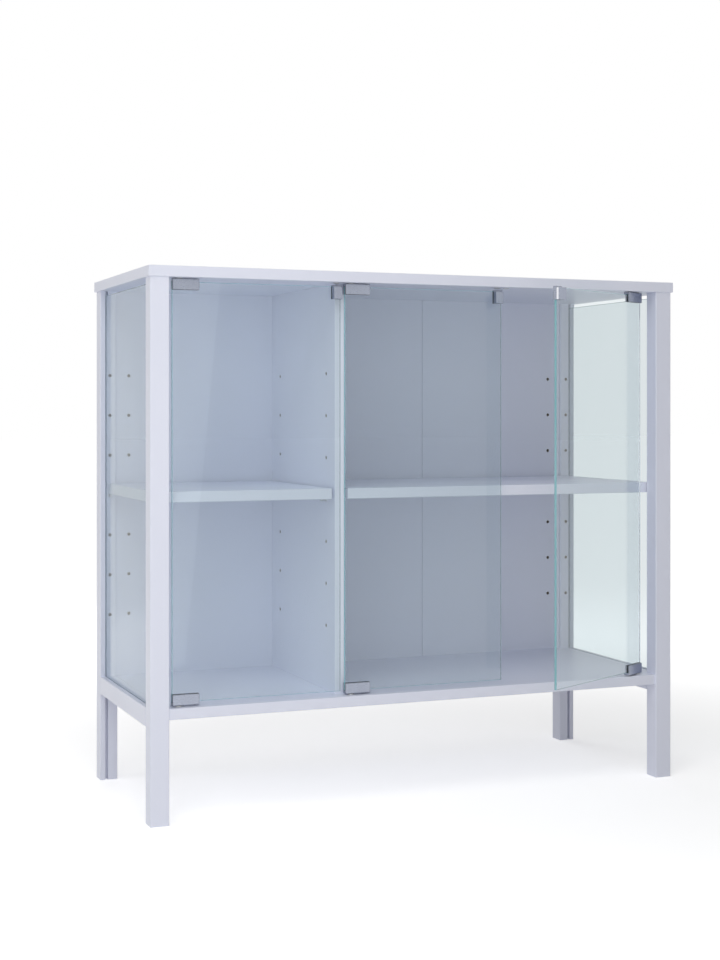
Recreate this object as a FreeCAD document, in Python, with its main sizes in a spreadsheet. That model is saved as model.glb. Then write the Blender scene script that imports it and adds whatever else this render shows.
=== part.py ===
"""Low display bookcase with three frameless glass doors, as a parametric FreeCAD document.

Four full-height posts carry a top board, and two side rails between them carry the floor board. A divider
stands at a third of the width, two shelves lie on pins, three boards close the back and a glass pane closes
each side. Three glass doors turn on pivot clips in bushes; the right door stands open.

Millimetres, +Z up, front towards -Y. The origin is on the floor, under the centre of the overall box.
Design lengths along Y are counted from the front face of the front posts.
"""
import FreeCAD, Part
import os
import Sketcher

# ---------------------------------------------------------------- sizes
SIZES = {
    # overall
    "overall_width": 870,
    "overall_depth": 350,
    "overall_height": 800,
    "board_thickness": 16,
    "edge_round": 1,
    # frame
    "post_side": 28,
    "post_round": 1.5,
    "side_overhang": 3,
    "front_overhang": 2,
    "back_overhang": 3,
    "leg_height": 138,
    "rail_height": 28,
    "floor_setback": 3,
    "inner_setback": 31,
    "back_recess": 5,
    "back_seam": 0.6,
    # side glass and its grooves
    "side_glass_thickness": 4,
    "groove_width": 4.5,
    "groove_depth": 8,
    "groove_offset": 8,
    "rail_groove_depth": 6,
    "glass_end_play": 1,
    "side_glass_top_gap": 7,
    "glass_arris": 0.4,
    # shelf pins and their holes
    "first_hole_row": 265,
    "hole_pitch": 64,
    "shelf_row": 3,
    "pin_diameter": 5,
    "pin_hole_depth": 7,
    "post_hole_offset": 18,
    "column_spacing": 32,
    "divider_front_column": 37,
    "divider_rear_column": 40,
    "pin_collar_diameter": 7,
    "pin_collar_thickness": 0.8,
    "pin_reach": 9,
    # shelves
    "shelf_glass_gap": 2.75,
    "shelf_divider_gap": 5,
    "shelf_back_gap": 1,
    # doors
    "door_glass_thickness": 4,
    "door_plane": 18,
    "door_side_gap": 8,
    "right_side_gap": 16,
    "seam_free_gap": 1.5,
    "seam_hinge_gap": 5.5,
    "right_door_open": 28.7,
    "pivot_inset": 10,
    "pivot_gap_top": 1,
    "pivot_gap_bottom": 2,
    # pivot clips
    "clip_length": 40,
    "clip_height": 16,
    "clip_wall": 2.6,
    "clip_web": 4,
    "clip_bevel": 0.5,
    "pad_thickness": 0.5,
    "grub_diameter": 4,
    "grub_proud": 0.8,
    "grub_first": 15,
    "grub_second": 33,
    "grub_drop": 10,
    "grub_key": 2,
    "grub_key_depth": 1.2,
    # pivot pins and bushes
    "pivot_diameter": 5,
    "pivot_reach": 8,
    "pivot_tip": 0.6,
    "bush_diameter": 8,
    "bush_length": 10,
    "bush_flange_diameter": 11,
    "bush_to_clip": 0.3,
    # pull caps and magnets
    "strike_length": 15,
    "strike_height": 20.5,
    "strike_roof": 1,
    "strike_end": 0.8,
    "pull_thin": 3.8,
    "pull_thick": 9.3,
    "pull_drop": 2,
    "magnet_diameter": 8,
    "magnet_length": 10,
    "magnet_head_diameter": 10,
    "magnet_gap": 3,
    # dowels and screws
    "dowel_diameter": 8,
    "dowel_shallow": 10,
    "dowel_deep": 15,
    "dowel_front": 80,
    "dowel_middle": 172,
    "dowel_rear": 265,
    "rail_dowel_inset": 6,
    "rail_dowel_low": 7,
    "rail_dowel_high": 21,
    "screw_shank_diameter": 7,
    "screw_core_diameter": 5,
    "screw_head_diameter": 10,
    "screw_head_height": 3,
    "screw_length": 45,
    "screw_key": 4,
    "screw_key_depth": 2,
    "screw_sunk": 0.5,
    "screw_front": 100,
    "screw_rear": 250,
    # fits
    "fit_play": 0.05,
    "bore_play": 0.5,
}

# Places worked out from the sizes; each formula may use the ones above it.
LAYOUT = {
    "half_width": "sizes.overall_width / 2",
    "post_outer": "half_width - sizes.side_overhang",
    "post_inner": "post_outer - sizes.post_side",
    "post_height": "sizes.overall_height - sizes.board_thickness",
    "frame_rear": "sizes.overall_depth - sizes.front_overhang - sizes.back_overhang",
    "rear_post": "frame_rear - sizes.post_side",
    "rail_length": "rear_post - sizes.post_side",
    "floor_top": "sizes.leg_height + sizes.rail_height",
    "floor_under": "floor_top - sizes.board_thickness",
    "inner_height": "post_height - floor_top",
    "inner_width": "2 * post_inner",
    "back_front": "rear_post + sizes.back_recess",
    "back_middle": "back_front + sizes.board_thickness / 2",
    "floor_depth": "back_front + sizes.board_thickness - sizes.floor_setback",
    "back_pitch": "inner_width / 3",
    "back_width": "back_pitch - sizes.back_seam",
    "divider_left": "(inner_width - sizes.board_thickness) / 3 - post_inner",
    "divider_right": "divider_left + sizes.board_thickness",
    "divider_depth": "back_front - sizes.inner_setback",
    "divider_rear_y": "back_front - sizes.divider_rear_column",
    "divider_front_y": "sizes.inner_setback + sizes.divider_front_column",
    "groove_side": "sizes.groove_offset + sizes.groove_width",
    "side_glass_x": "post_outer - sizes.groove_offset - sizes.groove_width / 2",
    "side_glass_in": "side_glass_x - sizes.side_glass_thickness / 2",
    "side_glass_y": "sizes.post_side - sizes.groove_depth + sizes.glass_end_play",
    "side_glass_depth": "rail_length + 2 * sizes.groove_depth - 2 * sizes.glass_end_play",
    "side_glass_z": "floor_top - sizes.rail_groove_depth",
    "side_glass_height": "post_height - sizes.side_glass_top_gap - side_glass_z",
    "post_hole_x": "post_outer - sizes.post_hole_offset",
    "back_hole_x": "post_hole_x - sizes.column_spacing",
    "pin_row": "sizes.first_hole_row + sizes.shelf_row * sizes.hole_pitch",
    "shelf_under": "pin_row + sizes.pin_diameter / 2",
    "shelf_outer": "side_glass_in - sizes.shelf_glass_gap",
    "shelf_depth": "rear_post - sizes.shelf_back_gap - sizes.inner_setback",
    "clip_width": "sizes.door_glass_thickness + 2 * sizes.pad_thickness + 2 * sizes.clip_wall",
    "slot_width": "sizes.door_glass_thickness + 2 * sizes.pad_thickness",
    "clip_top": "post_height - sizes.pivot_gap_top",
    "clip_bottom": "floor_top + sizes.pivot_gap_bottom",
    "door_top": "clip_top - sizes.clip_web - sizes.pad_thickness",
    "door_bottom": "clip_bottom + sizes.clip_web + sizes.pad_thickness",
    "door_height": "door_top - door_bottom",
    "seam": "inner_width / 6",
    "door_edge": "seam + sizes.seam_free_gap",
    "left_door_width": "post_inner - sizes.door_side_gap - door_edge",
    "middle_door_width": "2 * seam - sizes.seam_hinge_gap - sizes.seam_free_gap",
    "right_door_width": "post_inner - sizes.right_side_gap - door_edge",
    "left_pivot": "sizes.pivot_inset - post_inner + sizes.door_side_gap",
    "middle_pivot": "sizes.pivot_inset - seam + sizes.seam_hinge_gap",
    "right_pivot": "post_inner - sizes.right_side_gap - sizes.pivot_inset",
    "strike_over": "sizes.pad_thickness + sizes.strike_end",
    "strike_top": "door_top + sizes.pad_thickness + sizes.strike_roof",
    "strike_centre": "sizes.strike_length / 2 - strike_over",
    "magnet_head": "post_height - strike_top - sizes.magnet_gap",
    "screw_pilot": "sizes.screw_length - sizes.board_thickness + sizes.bore_play",
    "right_door_reach": "right_door_width - sizes.pivot_inset + strike_over",
    "strike_width": "slot_width + 2 * sizes.strike_end",
    "foremost": "sizes.door_plane - right_door_reach * sin(sizes.right_door_open * 1deg)"
                " - (slot_width / 2 + sizes.pull_thin) * cos(sizes.right_door_open * 1deg)",
    "centre_y": "(sizes.overall_depth - sizes.front_overhang + min(foremost; -sizes.front_overhang)) / 2",
}

# Sides of the small rods and bores that repeat, made as prisms to keep the mesh light; rows of holes.
HIDDEN_SIDES = 8
SMALL_SIDES = 12
FINE_SIDES = 24
KEY_SIDES = 6
HOLE_ROWS = 7
INNER_FIRST_HOLE = "sizes.first_hole_row - layout.floor_top"
GRUB_PLACES = ("sizes.grub_first", "sizes.grub_second")
# Tolerances of this script's own tests.
NEAR = 0.01
LEAST_CHANGE = 1e-6
# The numbers by which a sketch knows its axes and the ends of a line.
X_AXIS = -1
Y_AXIS = -2
START = 1
END = 2

V = FreeCAD.Vector
doc = FreeCAD.newDocument("bookcase")
nodes = []


# ---------------------------------------------------------------- sheets and expressions
def driving_sheet():
    """The sizes that can be set by themselves, one alias each."""
    sheet = doc.addObject("Spreadsheet::Sheet", "sizes")
    for row, (alias, number) in enumerate(SIZES.items(), 1):
        sheet.set(f"A{row}", alias)
        sheet.set(f"B{row}", str(number))
        sheet.setAlias(f"B{row}", alias)
    doc.recompute()
    return sheet


def layout_sheet():
    """The places that follow from the sizes, as formulas."""
    sheet = doc.addObject("Spreadsheet::Sheet", "layout")
    for row, (alias, formula) in enumerate(LAYOUT.items(), 1):
        sheet.set(f"A{row}", alias)
        sheet.set(f"B{row}", "=" + formula)
        sheet.setAlias(f"B{row}", alias)
    doc.recompute()
    return sheet


sizes = driving_sheet()
layout = layout_sheet()


def value(expression):
    """The number that an expression gives now."""
    result = layout.evalExpression(str(expression))
    return float(getattr(result, "Value", result))


def turn(axis, angle):
    return f"rotation(vector({axis}); {angle})"


NO_TURN = turn("0; 0; 1", 0)
HALF_X = turn("1; 0; 0", 180)
HALF_Y = turn("0; 1; 0", 180)
HALF_Z = turn("0; 0; 1", 180)
Z_TO_X = turn("0; 1; 0", 90)
Z_TO_LEFT = turn("0; 1; 0", -90)
Z_TO_FRONT = turn("1; 0; 0", 90)
Z_TO_BACK = turn("1; 0; 0", -90)


# ---------------------------------------------------------------- bodies and features
def new_body(name):
    return doc.addObject("PartDesign::Body", name)


def node(piece, name):
    """Lists a piece as a sub-part of the bookcase under its own name."""
    piece.Label = name
    nodes.append(piece)
    return piece


def feature(body, kind, lengths, at, **settings):
    """A feature of a body with its lengths given as expressions, checked to have changed the body."""
    before = body.Tip.Shape.Volume if body.Tip else 0
    made = body.newObject(f"PartDesign::{kind}", f"{body.Name}_{kind.lower()}")
    made.Refine = False
    for name, setting in settings.items():
        setattr(made, name, setting)
    for name, expression in lengths.items():
        made.setExpression(name, expression)
    made.setExpression("Placement", at)
    made.recompute()
    if abs(made.Shape.Volume - before) < LEAST_CHANGE:
        raise RuntimeError(f"{made.Label} changed nothing")
    return made


def block(body, action, corner, width, depth, height):
    """Adds or cuts a block with its lower front left corner at corner."""
    lengths = {"Length": width, "Width": depth, "Height": height}
    return feature(body, f"{action}Box", lengths, f"placement(vector({corner}); {NO_TURN})")


def rod(body, action, at, diameter, length, sides=None):
    """Adds or cuts a rod that runs along Z from at: round, or with sides flat faces a diameter apart."""
    if sides is None:
        return feature(body, f"{action}Cylinder", {"Radius": f"({diameter}) / 2", "Height": length}, at)
    lengths = {"Circumradius": f"({diameter}) / 2 / cos(180deg / {sides})", "Height": length}
    return feature(body, f"{action}Prism", lengths, at, Polygon=sides)


def upwards(height, u="0", v="0"):
    """The placement of a rod that starts at a height and runs up."""
    return f"placement(vector({u}; {v}; {height}); {NO_TURN})"


def soften(body, kind, size, wanted):
    """A Fillet or Chamfer on the edges of the tip that wanted(edge, box) picks."""
    tip = body.Tip
    box = tip.Shape.BoundBox
    picked = [f"Edge{index}" for index, edge in enumerate(tip.Shape.Edges, 1) if wanted(edge, box)]
    made = body.newObject(f"PartDesign::{kind}", f"{body.Name}_{kind.lower()}")
    made.Base = (tip, picked)
    made.setExpression("Radius" if kind == "Fillet" else "Size", size)
    made.recompute()
    return made


def runs(edge, direction):
    """Whether a straight edge runs along x, y or z."""
    return abs(getattr(edge.tangentAt(edge.FirstParameter), direction)) > 1 - NEAR


def at_front(edge, box):
    return abs(edge.CenterOfMass.y - box.YMin) < NEAR


def every_edge(edge, box):
    return True


def level_edges(edge, box):
    return not runs(edge, "z")


def upright_edges(edge, box):
    return runs(edge, "z")


def front_upright_edges(edge, box):
    return runs(edge, "z") and at_front(edge, box)


def front_long_edges(edge, box):
    return runs(edge, "x") and at_front(edge, box)


def edges_along_y(edge, box):
    return runs(edge, "y")


def edges_on_box(edge, box):
    """Edges that lie on an edge of the bounding box."""
    middle = edge.CenterOfMass
    spans = ((middle.x, box.XMin, box.XMax), (middle.y, box.YMin, box.YMax), (middle.z, box.ZMin, box.ZMax))
    return sum(min(abs(at - low), abs(at - high)) < NEAR for at, low, high in spans) >= 2


def new_sketch(body, role, offset=None):
    """A sketch on one of the body's origin planes, or at an offset along the plane's normal."""
    sketch = body.newObject("Sketcher::SketchObject", f"{body.Name}_sketch")
    sketch.AttachmentSupport = [([item for item in body.Origin.OriginFeatures if item.Role == role][0], "")]
    sketch.MapMode = "FlatFace"
    if offset is not None:
        sketch.setExpression("AttachmentOffset.Base.z", offset)
    return sketch


def polygon(sketch, points):
    """Adds a closed outline through points, each a pair of expressions, to a sketch."""
    corners = [V(value(u), value(v), 0) for u, v in points]
    first = sketch.GeometryCount
    for start, end in zip(corners, corners[1:] + corners[:1]):
        sketch.addGeometry(Part.LineSegment(start, end))
    for number, (u, v) in enumerate(points):
        line = first + number
        following = first + (number + 1) % len(points)
        sketch.addConstraint(Sketcher.Constraint("Coincident", line, END, following, START))
        hold(sketch, line, "DistanceX", Y_AXIS, u)
        hold(sketch, line, "DistanceY", X_AXIS, v)


def hold(sketch, line, kind, axis, measure):
    """Keeps the start of a line at a measured distance from a sketch axis, or on it."""
    if measure == "0":
        sketch.addConstraint(Sketcher.Constraint("PointOnObject", line, START, axis))
        return
    index = sketch.addConstraint(Sketcher.Constraint(kind, X_AXIS, START, line, START, value(measure)))
    sketch.setExpression(f"Constraints[{index}]", measure)


def padded(body, sketch, length):
    """A Pad of a sketch."""
    made = body.newObject("PartDesign::Pad", f"{body.Name}_pad")
    made.Profile = sketch
    made.setExpression("Length", length)
    sketch.recompute()
    made.recompute()
    return made


# ---------------------------------------------------------------- drilling and grooving of boards
# Each face of a block: where a spot on it lies, and the turn that points Z into the block.
FACES = {
    "bottom": ("{u}; {v}; 0", NO_TURN),
    "top": ("{u}; {v}; {away}", HALF_X),
    "front": ("{u}; 0; {v}", Z_TO_BACK),
    "back": ("{u}; {away}; {v}", Z_TO_FRONT),
    "left": ("0; {u}; {v}", Z_TO_X),
    "right": ("{away}; {u}; {v}", Z_TO_LEFT),
}


def bores(face, away, spots, diameter, depth, sides, start="0"):
    """Drill tools for holes into a face of a block that is away wide across it, from start deep."""
    where, turned = FACES[face]
    tools = []
    for u, v in spots:
        tool = doc.addObject("Part::Prism", "drill")
        tool.Polygon = sides
        tool.setExpression("Circumradius", f"({diameter}) / 2 / cos(180deg / {sides})")
        tool.setExpression("Height", depth)
        on_face = f"placement(vector({where.format(u=u, v=v, away=away)}); {turned})"
        tool.setExpression("Placement", f"{on_face} * placement(vector(0; 0; {start}); {NO_TURN})")
        tools.append(tool)
    return tools


def hole_column(face, away, offset, first):
    """Drill tools for a column of shelf-pin holes."""
    spots = [(offset, f"{first} + {row} * sizes.hole_pitch") for row in range(HOLE_ROWS)]
    return bores(face, away, spots, PIN_BORE, "sizes.pin_hole_depth", SMALL_SIDES)


def groove(corner, width, depth, height):
    """A tool that cuts a groove with its lower front left corner at corner."""
    tool = doc.addObject("Part::Box", "groove")
    tool.setExpression("Length", width)
    tool.setExpression("Width", depth)
    tool.setExpression("Height", height)
    tool.setExpression("Placement", f"placement(vector({corner}); {NO_TURN})")
    return tool


def machined(body, tools):
    """The node of a board: the board less its drilled holes and grooves, which don't overlap."""
    body.Label = f"{body.Name}_blank"
    bundle = doc.addObject("Part::Compound", f"{body.Name}_tools")
    bundle.Links = tools
    cut = doc.addObject("Part::Cut", f"{body.Name}_machined")
    cut.Base = body
    cut.Tool = bundle
    cut.Refine = False
    return node(cut, body.Name)


def board(name, width, depth, height):
    """A block with its lower front left corner at its own origin."""
    body = new_body(name)
    block(body, "Additive", "0; 0; 0", width, depth, height)
    return body


def group(name, copies):
    """One node of several separate pieces: copies of a master part, each with its own placement."""
    members = []
    for index, (master, at) in enumerate(copies, 1):
        copy = doc.addObject("App::Link", f"{name}_{index}")
        copy.LinkedObject = master
        copy.LinkTransform = False
        copy.setExpression("Placement", at)
        members.append(copy)
    bundle = doc.addObject("Part::Compound", name)
    bundle.Links = members
    return node(bundle, name)


def spot(x, y, z, turned=NO_TURN):
    """The placement expression of a copy in a group."""
    return f"placement(vector({x}; {y} - layout.centre_y; {z}); {turned})"


def place(piece, x, y, z):
    """Puts a piece at a place in the bookcase."""
    piece.setExpression("Placement", spot(x, y, z))


# ---------------------------------------------------------------- fastener places
SIDES = {"left": -1, "right": 1}
DOORS = {
    # door: pivot, side that the glass reaches to, width, angle that it stands open
    "left": ("layout.left_pivot", 1, "layout.left_door_width", "0"),
    "middle": ("layout.middle_pivot", 1, "layout.middle_door_width", "0"),
    "right": ("layout.right_pivot", -1, "layout.right_door_width", "sizes.right_door_open"),
}
PIN_BORE = "sizes.pin_diameter + 2 * sizes.fit_play"
DOWEL_BORE = "sizes.dowel_diameter + 2 * sizes.fit_play"
BUSH_BORE = "sizes.bush_diameter + 2 * sizes.fit_play"
MAGNET_BORE = "sizes.magnet_diameter + 2 * sizes.fit_play"
PILOT_BORE = "sizes.screw_core_diameter + 2 * sizes.fit_play"
SHALLOW = "sizes.dowel_shallow + sizes.bore_play"
DEEP = "sizes.dowel_deep + sizes.bore_play"
POST_MIDDLE = "layout.post_outer - sizes.post_side / 2"
FRONT_POST_Y = "sizes.post_side / 2"
REAR_POST_Y = "(layout.rear_post + sizes.post_side / 2)"
RAIL_DOWELS = ("sizes.rail_dowel_low", "sizes.rail_dowel_high")
FLOOR_DOWELS = ("sizes.dowel_front", "sizes.dowel_middle", "sizes.dowel_rear")
DIVIDER_MIDDLE = "(layout.divider_left + layout.divider_right) / 2"
DIVIDER_DOWELS = [(DIVIDER_MIDDLE, y) for y in ("sizes.dowel_front", "sizes.dowel_rear")]
DIVIDER_SCREWS = [(DIVIDER_MIDDLE, y) for y in ("sizes.screw_front", "sizes.screw_rear")]
POST_SPOTS = [(f"{sign} * ({POST_MIDDLE})", y)
              for sign in SIDES.values() for y in (FRONT_POST_Y, REAR_POST_Y)]
# two fastening points per back board, at a quarter and three quarters of its width
BACK_SPOTS = [(f"layout.back_pitch * {number + share} - layout.post_inner", "layout.back_middle")
              for number in range(3) for share in (0.25, 0.75)]
PIVOT_SPOTS = [(pivot, "sizes.door_plane") for pivot, _, _, _ in DOORS.values()]
# above the middle of each strike cap, with its door closed
MAGNET_SPOTS = [(f"{pivot} + {side} * ({width} - sizes.pivot_inset - layout.strike_centre)",
                 "sizes.door_plane") for pivot, side, width, _ in DOORS.values()]


def local(spots, corner_x, corner_y):
    """Spots counted from the corner of a piece that lies at corner_x, corner_y."""
    return [(f"{x} - ({corner_x})", f"{y} - ({corner_y})") for x, y in spots]


# ---------------------------------------------------------------- boards
def top_panel():
    body = board("top_panel", "sizes.overall_width", "sizes.overall_depth", "sizes.board_thickness")
    soften(body, "Fillet", "sizes.edge_round", level_edges)
    corner = ("-layout.half_width", "-sizes.front_overhang")
    dowels = local(POST_SPOTS + DIVIDER_DOWELS + BACK_SPOTS, *corner)
    tools = bores("bottom", "0", dowels, DOWEL_BORE, SHALLOW, HIDDEN_SIDES)
    tools += bores("bottom", "0", local(PIVOT_SPOTS, *corner), BUSH_BORE,
                   "sizes.bush_length + sizes.bore_play", SMALL_SIDES)
    tools += bores("bottom", "0", local(MAGNET_SPOTS, *corner), MAGNET_BORE,
                   "sizes.magnet_length + sizes.bore_play", SMALL_SIDES)
    place(machined(body, tools), *corner, "layout.post_height")


def bottom_panel():
    thick = "sizes.board_thickness"
    body = board("bottom_panel", "layout.inner_width", "layout.floor_depth", thick)
    soften(body, "Fillet", "sizes.edge_round", front_long_edges)
    corner = ("-layout.post_inner", "sizes.floor_setback")
    tools = bores("top", thick, local(PIVOT_SPOTS, *corner), BUSH_BORE,
                  "sizes.bush_length + sizes.bore_play", SMALL_SIDES)
    screws = local(DIVIDER_SCREWS + BACK_SPOTS, *corner)
    head = "sizes.screw_head_height"
    tools += bores("bottom", "0", screws, "sizes.screw_head_diameter + 2 * sizes.fit_play", head,
                   SMALL_SIDES)
    tools += bores("bottom", "0", screws, "sizes.screw_shank_diameter + 2 * sizes.fit_play",
                   f"{thick} - {head}", HIDDEN_SIDES, head)
    ends = [(f"{y} - sizes.floor_setback", f"{thick} / 2") for y in FLOOR_DOWELS]
    tools += bores("left", "0", ends, DOWEL_BORE, DEEP, HIDDEN_SIDES)
    tools += bores("right", "layout.inner_width", ends, DOWEL_BORE, DEEP, HIDDEN_SIDES)
    place(machined(body, tools), *corner, "layout.floor_under")


def divider_panel():
    thick = "sizes.board_thickness"
    height = "layout.inner_height"
    body = board("divider_panel", thick, "layout.divider_depth", height)
    soften(body, "Fillet", "sizes.edge_round", front_upright_edges)
    corner = ("layout.divider_left", "sizes.inner_setback")
    tools = bores("top", height, local(DIVIDER_DOWELS, *corner), DOWEL_BORE, DEEP, HIDDEN_SIDES)
    tools += bores("bottom", "0", local(DIVIDER_SCREWS, *corner), PILOT_BORE, "layout.screw_pilot",
                   HIDDEN_SIDES)
    for column in ("layout.divider_front_y", "layout.divider_rear_y"):
        for face, away in (("left", "0"), ("right", thick)):
            tools += hole_column(face, away, f"{column} - sizes.inner_setback", INNER_FIRST_HOLE)
    place(machined(body, tools), *corner, "layout.floor_top")


def back_panel(name, number, pin_side):
    """One of the three back boards; the outer two carry a column of pin holes near the posts."""
    height = "layout.inner_height"
    body = board(name, "layout.back_width", "sizes.board_thickness", height)
    soften(body, "Fillet", "sizes.edge_round", front_upright_edges)
    left = f"layout.back_pitch * {number} - layout.post_inner + sizes.back_seam / 2"
    own = local(BACK_SPOTS[2 * number:2 * number + 2], left, "layout.back_front")
    tools = bores("top", height, own, DOWEL_BORE, DEEP, HIDDEN_SIDES)
    tools += bores("bottom", "0", own, PILOT_BORE, "layout.screw_pilot", HIDDEN_SIDES)
    if pin_side:
        offset = f"{pin_side} * layout.back_hole_x - ({left})"
        tools += hole_column("front", "0", offset, INNER_FIRST_HOLE)
    place(machined(body, tools), left, "layout.back_front", "layout.floor_top")


def shelf(name, left, width):
    body = board(name, width, "layout.shelf_depth", "sizes.board_thickness")
    soften(body, "Fillet", "sizes.edge_round", front_long_edges)
    place(node(body, name), left, "sizes.inner_setback", "layout.shelf_under")


# ---------------------------------------------------------------- frame
def across(side, offset):
    """A length from a post's or rail's own left face, for an offset from its outer face."""
    return offset if side == "left" else f"sizes.post_side - ({offset})"


def groove_left(side):
    """Where a groove begins, from a post's or rail's own left face."""
    return "sizes.groove_offset" if side == "left" else "sizes.post_side - layout.groove_side"


def outer_corner(side):
    return "-layout.post_outer" if side == "left" else "layout.post_inner"


def post(side, end):
    """A full-height leg, grooved along its inner face for the side glass, with a column of pin holes."""
    height = "layout.post_height"
    body = board(f"post_{end}_{side}", "sizes.post_side", "sizes.post_side", height)
    soften(body, "Fillet", "sizes.post_round", upright_edges)
    face, away, near = {
        "front": ("back", "sizes.post_side", "sizes.post_side - sizes.groove_depth"),
        "rear": ("front", "0", "0"),
    }[end]
    tools = [groove(f"{groove_left(side)}; {near}; 0", "sizes.groove_width", "sizes.groove_depth", height)]
    rail_spots = [(across(side, "sizes.post_side - sizes.rail_dowel_inset"), f"sizes.leg_height + {rise}")
                  for rise in RAIL_DOWELS]
    tools += bores(face, away, rail_spots, DOWEL_BORE, SHALLOW, HIDDEN_SIDES)
    middle = "sizes.post_side / 2"
    tools += bores("top", height, [(middle, middle)], DOWEL_BORE, DEEP, HIDDEN_SIDES)
    tools += hole_column(face, away, across(side, "sizes.post_hole_offset"), "sizes.first_hole_row")
    place(machined(body, tools), outer_corner(side), "0" if end == "front" else "layout.rear_post", "0")


def side_rail(side):
    """The rail between two posts: a groove on top holds the foot of the side glass."""
    length = "layout.rail_length"
    body = board(f"side_rail_{side}", "sizes.post_side", length, "sizes.rail_height")
    soften(body, "Fillet", "sizes.post_round", edges_along_y)
    floor = "sizes.rail_height - sizes.rail_groove_depth"
    tools = [groove(f"{groove_left(side)}; 0; {floor}", "sizes.groove_width", length,
                    "sizes.rail_groove_depth")]
    ends = [(across(side, "sizes.post_side - sizes.rail_dowel_inset"), rise) for rise in RAIL_DOWELS]
    tools += bores("front", "0", ends, DOWEL_BORE, DEEP, HIDDEN_SIDES)
    tools += bores("back", length, ends, DOWEL_BORE, DEEP, HIDDEN_SIDES)
    face, away = ("right", "sizes.post_side") if side == "left" else ("left", "0")
    inner = [(f"{y} - sizes.post_side", "sizes.rail_height - sizes.board_thickness / 2")
             for y in FLOOR_DOWELS]
    tools += bores(face, away, inner, DOWEL_BORE, SHALLOW, HIDDEN_SIDES)
    place(machined(body, tools), outer_corner(side), "sizes.post_side", "sizes.leg_height")


def side_glass(side):
    body = board(f"side_glass_{side}", "sizes.side_glass_thickness", "layout.side_glass_depth",
                 "layout.side_glass_height")
    soften(body, "Chamfer", "sizes.glass_arris", every_edge)
    left = f"{SIDES[side]} * layout.side_glass_x - sizes.side_glass_thickness / 2"
    place(node(body, body.Name), left, "layout.side_glass_y", "layout.side_glass_z")


# ---------------------------------------------------------------- small parts
def shelf_pins():
    """A pin for each shelf corner: shaft in the hole, thin collar on the face, rod under the shelf."""
    master = new_body("shelf_pin")
    shaft = "sizes.pin_hole_depth - sizes.bore_play"
    rod(master, "Additive", upwards(f"-({shaft})"), "sizes.pin_diameter",
        f"{shaft} + sizes.pin_reach", SMALL_SIDES)
    rod(master, "Additive", upwards("0"), "sizes.pin_collar_diameter", "sizes.pin_collar_thickness",
        SMALL_SIDES)
    row = "layout.pin_row"
    for side, sign in SIDES.items():
        face = "layout.divider_left" if side == "left" else "layout.divider_right"
        inwards = Z_TO_LEFT if side == "left" else Z_TO_X
        post_x = f"{sign} * layout.post_hole_x"
        group(f"shelf_pins_{side}", [
            (master, spot(post_x, "sizes.post_side", row, Z_TO_BACK)),
            (master, spot(post_x, "layout.rear_post", row, Z_TO_FRONT)),
            (master, spot(f"{sign} * layout.back_hole_x", "layout.back_front", row, Z_TO_FRONT)),
            (master, spot(face, "layout.divider_front_y", row, inwards)),
            (master, spot(face, "layout.divider_rear_y", row, inwards))])


def pivot_bushes(level, gap, z, turned):
    """Nylon bushes in a board: a flange on its face keeps the clip off, a bore takes the pivot pin."""
    master = new_body(f"bush_{level}")
    rod(master, "Additive", upwards("0"), "sizes.bush_diameter", "sizes.bush_length", SMALL_SIDES)
    flange = f"({gap} - sizes.bush_to_clip)"
    rod(master, "Additive", upwards(f"-{flange}"), "sizes.bush_flange_diameter", flange, FINE_SIDES)
    rod(master, "Subtractive", upwards(f"-{flange}"), "sizes.pivot_diameter + 2 * sizes.fit_play",
        f"{flange} + sizes.bush_length")
    group(f"pivot_bushes_{level}", [(master, spot(x, y, z, turned)) for x, y in PIVOT_SPOTS])


def catch_magnets():
    """Magnet discs let into the top board, each just above a strike cap."""
    master = new_body("catch_magnet")
    rod(master, "Additive", upwards("0"), "sizes.magnet_diameter", "sizes.magnet_length", SMALL_SIDES)
    rod(master, "Additive", upwards("-layout.magnet_head"), "sizes.magnet_head_diameter",
        "layout.magnet_head", FINE_SIDES)
    group("catch_magnets", [(master, spot(x, y, "layout.post_height")) for x, y in MAGNET_SPOTS])


def wood_dowels():
    """Beech dowels in every glued joint, the deep half of each in an edge or an end."""
    master = new_body("dowel")
    rod(master, "Additive", upwards("-sizes.dowel_shallow"), "sizes.dowel_diameter",
        "sizes.dowel_shallow + sizes.dowel_deep", HIDDEN_SIDES)
    copies = [(master, spot(x, y, "layout.post_height", HALF_X))
              for x, y in POST_SPOTS + DIVIDER_DOWELS + BACK_SPOTS]
    for sign in SIDES.values():
        rail_x = f"{sign} * (layout.post_inner + sizes.rail_dowel_inset)"
        for rise in RAIL_DOWELS:
            height = f"sizes.leg_height + {rise}"
            copies.append((master, spot(rail_x, "sizes.post_side", height, Z_TO_BACK)))
            copies.append((master, spot(rail_x, "layout.rear_post", height, Z_TO_FRONT)))
        inwards = Z_TO_X if sign < 0 else Z_TO_LEFT
        for y in FLOOR_DOWELS:
            copies.append((master, spot(f"{sign} * layout.post_inner", y,
                                        "layout.floor_top - sizes.board_thickness / 2", inwards)))
    group("wood_dowels", copies)


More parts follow.
